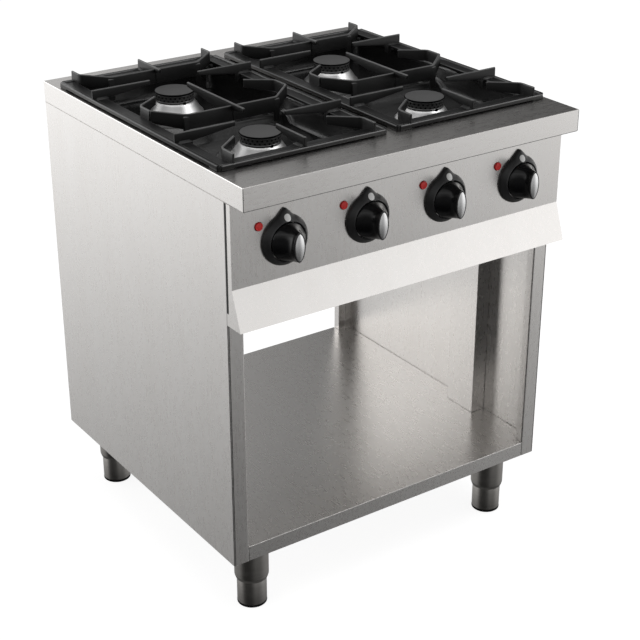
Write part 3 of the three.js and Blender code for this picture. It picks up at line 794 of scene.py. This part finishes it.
# A root pad from its foot inwards: reach, lower edge, upper edge, half width
PAD_STATIONS = ((7.5, 4, 11.0, 6.2), (9.5, 4, 12.6, 6.8), (28, 3, 12.2, 6.8), (32, -4, 9.5, 6.0),
                (33.5, -7, 4.5, 4.8))


def bar_section(low, high, half):
    """Cross-section of a bar as (across, height): square below, drafted and rounded along its top."""
    draft = half * 0.80
    crest = [(draft, high - 1.5), (draft * 0.80, high - 0.45), (draft * 0.35, high)]
    right = [(half * 0.7, low - 0.5), (half, low)] + crest
    left = [(-across, height) for across, height in reversed(crest)]
    return [(-half, low), (-half * 0.7, low - 0.5)] + right + left


def blade(mesh, points, level):
    """A cast bar on edge along (x, y, lower edge, upper edge) points, with a painted highlight along its
    top.
    """
    path = [Vector(p) for p in points]
    half = BAR_THICK / 2
    rings = []

    def ring(at, along, low, high, half):
        across = Vector((-along.y, along.x))
        section = bar_section(low, high, half)
        return [(at.x + across.x * s, at.y + across.y * s, level + z) for s, z in section]

    for i, point in enumerate(path):
        before = path[max(i - 1, 0)].xy
        after = path[min(i + 1, len(path) - 1)].xy
        along = (after - before).normalized()
        low, high = point.z, point.w
        full = (low, high, half)
        pinched = (low + 0.8, high - 0.8, half * 0.55)
        if i == 0:
            rings.append(ring(point.xy, along, *pinched))
            rings.append(ring(point.xy + along * BAR_END, along, *full))
        elif i == len(path) - 1:
            rings.append(ring(point.xy - along * BAR_END, along, *full))
            rings.append(ring(point.xy, along, *pinched))
        else:
            rings.append(ring(point.xy, along, *full))
    # The strips along the top of the section carry the painted highlight
    mesh.loft(rings, strips=(0, 0, 0, 0, 1, 1, 1, 1, 1, 0))


def sweep_frame(mesh, corners, profile, level, highlight_strips):
    """Sweeps an (inset, height) profile round the whole frame."""
    x0, x1, y0, y1 = corners
    spots = (((x0, y0), (1, 1)), ((x1, y0), (-1, 1)), ((x1, y1), (-1, -1)), ((x0, y1), (1, -1)))
    rings = [[(x + a * i, y + b * i, level + h) for i, h in profile] for (x, y), (a, b) in spots]
    mesh.loft(rings + rings[:1], close_start=False, close_end=False, strips=highlight_strips)


def sweep_sides(mesh, corners, profile, level, highlight_strips):
    """Sweeps an (inset, height) profile along each side, from notch to notch."""
    x0, x1, y0, y1 = corners
    spots = [Vector(spot) for spot in ((x0, y0), (x1, y0), (x1, y1), (x0, y1))]
    half_high = (RAIL_LOW + RAIL_HIGH) / 2
    for start, end in zip(spots, spots[1:] + spots[:1]):
        along = (end - start).normalized()
        inward = Vector((-along.y, along.x))
        stops = [(start + along * NOTCH, 0.8), (start + along * (NOTCH + 1.2), 1.0),
                 (end - along * (NOTCH + 1.2), 1.0), (end - along * NOTCH, 0.8)]
        rings = []
        for at, scale in stops:
            ring = []
            for inset, height in profile:
                spot = at + inward * (RIDGE / 2 + (inset - RIDGE / 2) * scale)
                ring.append((*spot, level + half_high + (height - half_high) * scale))
            rings.append(ring)
        mesh.loft(rings, strips=highlight_strips)


def root_pad(mesh, x, y, inward, level):
    """The sloped pad under a finger's root, ending in a lug that drops over the pan's rim."""
    across = Vector((-inward.y, inward.x))
    rings = []
    for reach, low, high, wide in PAD_STATIONS:
        at = Vector((x, y)) + inward * reach
        crest = wide * 0.42
        shoulder = min(high - 0.8, 8.6)
        right = [(wide, low), (wide, shoulder), (crest + 0.8, high - 0.6), (crest - 0.6, high)]
        left = [(-s, z) for s, z in reversed(right)]
        section = left[-1:] + right + left[:-1]
        rings.append([(at.x + across.x * s, at.y + across.y * s, level + z) for s, z in section])
    mesh.loft(rings)


def corner_foot(mesh, x, y, sx, sy, level):
    """The post and the two short blocks under a corner of the frame."""
    mesh.lathe(fillet(POST, 1.2), 20, (x + sx * NOTCH, y + sy * NOTCH, level))
    near, far = (0.5, 9), (NOTCH, 30)
    for (a, b), (c, d) in ((near, far), (far, near)):
        xs = sorted((x + sx * a, x + sx * b))
        ys = sorted((y + sy * c, y + sy * d))
        mesh.box((xs[0], ys[0], level + 0.3), (xs[1], ys[1], level + RAIL_LOW + 1.5), 0.6)


def make_grate(side):
    low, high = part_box(f"grate_{side}")
    x0, x1, y0, y1 = low.x / MM, high.x / MM, low.y / MM, high.y / MM
    corners = (x0, x1, y0, y1)
    level = TOP / MM
    centre = (x0 + x1) / 2
    front, rear = [middle(f"burner_cap_{row}_{side}").y / MM for row in ROWS]
    mesh = Mesh()

    ledge = fillet([(6, RAIL_LOW), (6, LEDGE_HIGH), (RAIL, LEDGE_HIGH), (RAIL, RAIL_LOW)], 1.2)
    # The last tuple picks the strips of the ledge and of the ridge that carry the painted highlight
    sweep_frame(mesh, corners, ledge, level, (0, 0, 0, 0, 0, 1, 1, 1, 0, 0))
    ridge = fillet([(0.5, RAIL_LOW), (0, RAIL_HIGH), (RIDGE, RAIL_HIGH), (RIDGE + 1, RAIL_LOW)], 1.8)
    sweep_sides(mesh, corners, ridge, level, (0, 1, 1, 1, 0, 1, 1, 1, 0, 0))
    for x, sx in ((x0, 1), (x1, -1)):
        for y, sy in ((y0, 1), (y1, -1)):
            corner_foot(mesh, x, y, sx, sy, level)

    half_way = (front + rear) / 2
    bars = [
        [(centre, y0 + 3, *ROOT), (centre, front - FINGER_REACH, *TIP)],
        [(centre, y1 - 1, *ROOT), (centre, rear + FINGER_REACH, *TIP)],
        [(centre, front + FINGER_REACH, *TIP), (centre, half_way, *ROOT),
         (centre, rear - FINGER_REACH, *TIP)],
    ]
    root_pad(mesh, centre, y0, Vector((0, 1)), level)
    root_pad(mesh, centre, y1, Vector((0, -1)), level)
    for edge, inwards in ((x0, 1), (x1, -1)):
        def place(reach, along, heights):
            """A point at a distance in from this edge of the grate and back from its front."""
            return (edge + inwards * reach, y0 + along, *heights)

        half_wide = (x1 - x0) / 2
        for y in (front, rear):
            bars.append([place(1, y - y0, ROOT), place(half_wide - FINGER_REACH, y - y0, TIP)])
            root_pad(mesh, edge, y, Vector((inwards, 0)), level)
        for start, turn, end in DIAGONALS:
            bars.append([place(FIN, start, ROOT), place(FIN, turn, ROOT), place(KINK, end, DIAGONAL_END)])
        for start, turn, cross in BRIDGES:
            fin = [place(FIN, along, ROOT) for along in ((start, turn) if start != turn else (turn,))]
            bars.append(fin + [place(KINK, cross, BRIDGE), place(half_wide, cross, BRIDGE)])
            blade(mesh, [place(KINK - 6, cross, BRIDGE_LEG), place(KINK + 6, cross, BRIDGE_LEG)], level)
    for points in bars:
        blade(mesh, fillet(points, 7, 4), level)
    mesh.finish(f"iron_grate_{side}", [IRON, IRON_TOP_HIGHLIGHT], f"grate_{side}", [f"grate_{side}"],
                sharp=35)


def make_grates():
    for side in SIDES:
        make_grate(side)


# ---- Controls ----------------------------------------------------------------------------
BEZEL_RADIUS = 44
BEZEL_TIP = 55
BEZEL_RIM = 3.4
BEZEL_HEIGHT = 13.8
BEZEL_INNER = 35.4
BEZEL_BORE = 33.6
BEZEL_SEAT = 0.3               # the outlines are measured from this far behind the bezel's node
BEZEL_STEPS = 168
TIP_HALF = 0.37                # radians either side of the tip
TIP_ROUND = 0.05
DOT_RADIUS = 5.9
DOT_HEIGHT = 40.6              # the white dot's middle, above the knob's axis
DOT_STEPS = 28
KNOB_BASE = 32.7
KNOB_BACK = 11.0               # in front of the panel
KNOB_FRONT = 46.2
KNOB_STEPS = 16
GRIP_TALL = 26                 # half sizes of the grip's front
GRIP_WIDE = 11.5
LENS_TALL = 23.3
LENS_WIDE = 8.6
LENS_RISE = 1.9
LENS_POINT = 1.22


def bezel_outline(angle):
    """Radius of the bezel's outline; angle 0 is the tip, straight up."""
    turn = abs((angle + math.pi) % (2 * math.pi) - math.pi)
    turn = math.hypot(turn, TIP_ROUND) - TIP_ROUND
    share = max(0.0, 1 - turn / TIP_HALF)
    return BEZEL_RADIUS + (BEZEL_TIP - BEZEL_RADIUS) * share ** 1.55


def bezel_surface(angle, radius):
    """Height of the bezel's sloped face in front of the panel."""
    outer = bezel_outline(angle)
    share = (outer - radius) / (outer - BEZEL_INNER)
    return BEZEL_RIM + (BEZEL_HEIGHT - BEZEL_RIM) * max(0.0, min(1.0, share)) ** 0.85


def facing(x, z, out, spot):
    """A point on a control, x across and z up from its middle, out in front of the panel."""
    return (spot[0] + x, spot[1] - out, spot[2] + z)


def white_dot(mesh, spot):
    """The domed index dot, laid on the bezel's slope."""
    rings = []
    for share, lift in ((1, -0.3), (1, 0.18), (0.9, 0.32), (0.5, 0.36), (0, 0.36)):
        size = DOT_RADIUS * share
        points = []
        for i in range(DOT_STEPS if size else 1):
            turn = 2 * math.pi * i / DOT_STEPS
            x, z = size * math.sin(turn), DOT_HEIGHT + size * math.cos(turn)
            out = bezel_surface(math.atan2(x, z), math.hypot(x, z)) + lift
            points.append(facing(x, z, out, spot))
        rings.append(points)
    mesh.loft(rings, slot=1)


def make_bezel(number, spot):
    def ring(place):
        """A ring of points; place gives (radius, out) from an angle and the outline's radius there."""
        points = []
        for i in range(BEZEL_STEPS):
            angle = 2 * math.pi * i / BEZEL_STEPS
            radius, out = place(angle, bezel_outline(angle))
            points.append(facing(radius * math.sin(angle), radius * math.cos(angle), out, spot))
        return points

    def inner_ring(radius, out):
        return ring(lambda angle, outer: (radius, out))

    def outer_ring(inset, out):
        return ring(lambda angle, outer: (outer - inset, out))

    def face_ring(share):
        def on_face(angle, outer):
            radius = outer + (BEZEL_INNER - outer) * share
            return radius, bezel_surface(angle, radius)
        return ring(on_face)

    back = inner_ring(BEZEL_BORE, 0.4)
    rings = [back, outer_ring(0.4, 0.4), outer_ring(0, 1.0), outer_ring(0, 2.6), outer_ring(0.3, BEZEL_RIM)]
    rings += [face_ring(share) for share in (0.12, 0.3, 0.5, 0.7, 0.85, 0.97)]
    rings += [inner_ring(BEZEL_INNER - 0.6, BEZEL_HEIGHT + 0.1), inner_ring(34.2, 13.5),
              inner_ring(33.7, 12.6), inner_ring(BEZEL_BORE, 6.0), back]
    mesh = Mesh()
    mesh.loft(rings, close_start=False, close_end=False)
    white_dot(mesh, spot)
    mesh.finish(f"bezel_{number}", [SATIN_BLACK, WHITE_MARK], "root",
                [f"knob_bezel_{number}"], sharp=40)


def lens_ring(spot, tall, wide, out, power, segments=72):
    """An outline between a circle and an upright almond: power 1 is an ellipse."""
    points = []
    for i in range(segments):
        angle = 2 * math.pi * i / segments
        side = math.sin(angle)
        x = wide * math.copysign(abs(side) ** power, side)
        points.append(facing(x, tall * math.cos(angle), out, spot))
    return points


def make_knob(number, spot):
    """The grip: round at its base, and drawn in to an upright almond at its front."""
    def round_ring(radius, out):
        return lens_ring(spot, radius, radius, out, 1.0)

    rings = [round_ring(KNOB_BASE - 1.2, KNOB_BACK), round_ring(KNOB_BASE - 0.3, KNOB_BACK + 0.4),
             round_ring(KNOB_BASE, KNOB_BACK + 1.4), round_ring(KNOB_BASE, KNOB_BACK + 3.2)]
    start = KNOB_BACK + 3.2
    end = KNOB_FRONT - 1.6
    for k in range(1, KNOB_STEPS + 1):
        t = k / KNOB_STEPS
        wide = GRIP_WIDE + (KNOB_BASE - GRIP_WIDE) * (1 - t) ** 1.9
        tall = GRIP_TALL + (KNOB_BASE - GRIP_TALL) * (1 - t) ** 1.2
        rings.append(lens_ring(spot, tall, wide, start + (end - start) * t, 1 + 0.15 * t ** 2))
    rings += [lens_ring(spot, 25.7, 11.2, KNOB_FRONT - 0.9, 1.15),
              lens_ring(spot, 25.0, 10.5, KNOB_FRONT - 0.3, 1.17),
              lens_ring(spot, 24.2, 9.6, KNOB_FRONT - 0.25, 1.2),
              lens_ring(spot, 23.7, 9.0, KNOB_FRONT - 0.7, LENS_POINT)]
    mesh = Mesh()
    mesh.loft(rings)
    mesh.finish(f"knob_grip_{number}", [GLOSS_BLACK], f"knob_{number}", [f"knob_{number}"],
                sharp=50)


def make_knob_lens(number, spot):
    """The domed silver insert in the front of the grip."""
    rim = KNOB_FRONT - 0.25
    rings = [lens_ring(spot, LENS_TALL, LENS_WIDE, KNOB_FRONT - 0.5, LENS_POINT)]
    for scale in (1.0, 0.94, 0.82, 0.66, 0.5, 0.34, 0.18):
        out = rim + LENS_RISE * (1 - scale ** 2)
        rings.append(lens_ring(spot, LENS_TALL * scale, LENS_WIDE * scale, out, LENS_POINT))
    rings.append([facing(0, 0, rim + LENS_RISE, spot)])
    mesh = Mesh()
    mesh.loft(rings)
    mesh.finish(f"knob_lens_{number}", [SILVER], f"knob_{number}", [f"knob_insert_{number}"],
                sharp=60)


def make_button(number):
    low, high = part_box(f"igniter_button_{number}")
    centre = middle(f"igniter_button_{number}") / MM
    radius = (high.x - low.x) / 2 / MM
    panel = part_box("control_panel")[0].y
    face = (panel - low.y) / MM
    spot = (centre.x, panel / MM, centre.z)
    profile = [(0, face - 12), (radius, face - 12), (radius, face - 0.7), (radius - 0.7, face),
               (radius - 1.6, face), (radius - 2.0, face - 0.6), (radius - 2.6, face - 0.5), (0, face - 0.2)]
    mesh = Mesh()
    mesh.lathe(fillet(profile, 0.3, 2), 40, spot, forward=True)
    mesh.finish(f"igniter_cap_{number}", [RED], f"button_{number}",
                [f"igniter_button_{number}"])


def make_controls():
    for number in NUMBERS:
        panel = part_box(f"knob_bezel_{number}")[1].y / MM + BEZEL_SEAT
        stem = middle(f"valve_stem_{number}") / MM
        spot = (stem.x, panel, stem.z)
        make_bezel(number, spot)
        make_knob(number, spot)
        make_knob_lens(number, spot)
        make_button(number)


# ---- Stage -------------------------------------------------------------------------------
ENVIRONMENT_STRENGTH = 1.6
# Brightness of the studio: the rise of a direction, from -1 straight down to 1 straight up, and its grey
SKY = ((-1.0, 0.07), (-0.62, 0.11), (-0.47, 0.31), (-0.36, 0.56), (-0.26, 0.88), (-0.10, 1.0), (0.15, 1.0),
       (0.30, 0.42), (0.47, 0.42), (0.58, 0.24), (1.0, 0.20))
# Darker and brighter parts of the studio: direction, gain in the middle, cosines of edge and core
PATCHES = (
    ((0.150, -0.853, -0.50), 0.38, 0.72, 0.98),
    ((0.136, -0.969, 0.208), 0.75, 0.80, 0.98),
    ((0.835, 0.522, 0.174), 0.02, 0.73, 0.996),
    ((-0.800, -0.480, -0.36), 0.06, 0.62, 0.90),
    ((-0.549, 0.702, 0.454), 2.20, 0.80, 0.96),
)


def make_world():
    """Surroundings that light the object and show in its reflections; the camera sees plain white."""
    world = bpy.data.worlds.new("studio")
    scene.world = world
    world.use_nodes = True
    n = Nodes(world.node_tree)
    back = n.tree.nodes["Background"]
    rays = n.add("ShaderNodeLightPath")
    way = n.add("ShaderNodeTexCoord").outputs["Generated"]
    rise = n.dot(way, (0, 0, 1))
    sky = n.colours(n.spread(rise, 0, 1, -1, 1), *[((z + 1) / 2, grey(v)) for z, v in SKY])
    tone = 1.0
    for direction, gain, edge, core in PATCHES:
        tone = n.math("MULTIPLY", tone, n.spread(n.dot(way, direction), 1.0, gain, edge, core, smooth=True))
    lit = n.add("ShaderNodeMix", data_type="RGBA", blend_type="MULTIPLY")
    lit.inputs["Factor"].default_value = 1
    n.feed(sky, lit.inputs["A"])
    n.feed(tone, lit.inputs["B"])
    strong = n.add("ShaderNodeVectorMath", operation="SCALE")
    strong.inputs["Scale"].default_value = ENVIRONMENT_STRENGTH
    n.feed(lit.outputs["Result"], strong.inputs[0])
    mix = n.add("ShaderNodeMix", data_type="RGBA")
    n.feed(rays.outputs["Is Camera Ray"], mix.inputs["Factor"])
    n.feed(strong.outputs[0], mix.inputs["A"])
    mix.inputs["B"].default_value = (1, 1, 1, 1)
    n.feed(mix.outputs["Result"], back.inputs["Color"])


FLOOR_SIZE = 40.0


def make_floor():
    """A pale floor that only the camera sees and that takes soft shadows."""
    mesh = bpy.data.meshes.new("floor")
    half = FLOOR_SIZE / 2
    corners = [(-half, -half, 0), (half, -half, 0), (half, half, 0), (-half, half, 0)]
    mesh.from_pydata(corners, [], [(0, 1, 2, 3)])
    floor = bpy.data.objects.new("floor", mesh)
    scene.collection.objects.link(floor)
    pale = Finish("floor", Roughness=0.95, Specular_IOR_Level=0.0, Emission_Strength=0.89)
    pale.shader.inputs["Emission Color"].default_value = (1, 1, 1, 1)
    pale.colour(pale.noise(3), grey(0.24), grey(0.26))
    mesh.materials.append(pale.material)
    floor.visible_glossy = False
    floor.visible_diffuse = False
    floor.visible_transmission = False
    floor.visible_shadow = False


def make_light(name, place, aim, size, power):
    data = bpy.data.lights.new(name, "AREA")
    data.shape = "RECTANGLE"
    data.size, data.size_y = size
    data.energy = power
    light = bpy.data.objects.new(name, data)
    light.location = place
    direction = Vector(aim) - Vector(place)
    light.rotation_euler = direction.to_track_quat("-Z", "Y").to_euler()
    scene.collection.objects.link(light)


def make_lights():
    make_light("overhead", (-0.3, 0.1, 3.2), (0, 0, 0.5), (2.4, 2.4), 24)
    make_light("front_high", (1.3, -1.0, 2.6), (0, 0, 0.85), (1.2, 1.2), 20)


scene.view_settings.view_transform = "Standard"
scene.view_settings.look = "None"

make_camera()
make_world()
make_floor()
make_lights()
dress_casing()
make_side_panels()
make_worktop_shade_lines()
make_back_screws()
make_inlet_nut()
make_legs()
make_burners()
make_pans()
make_grates()
make_controls()
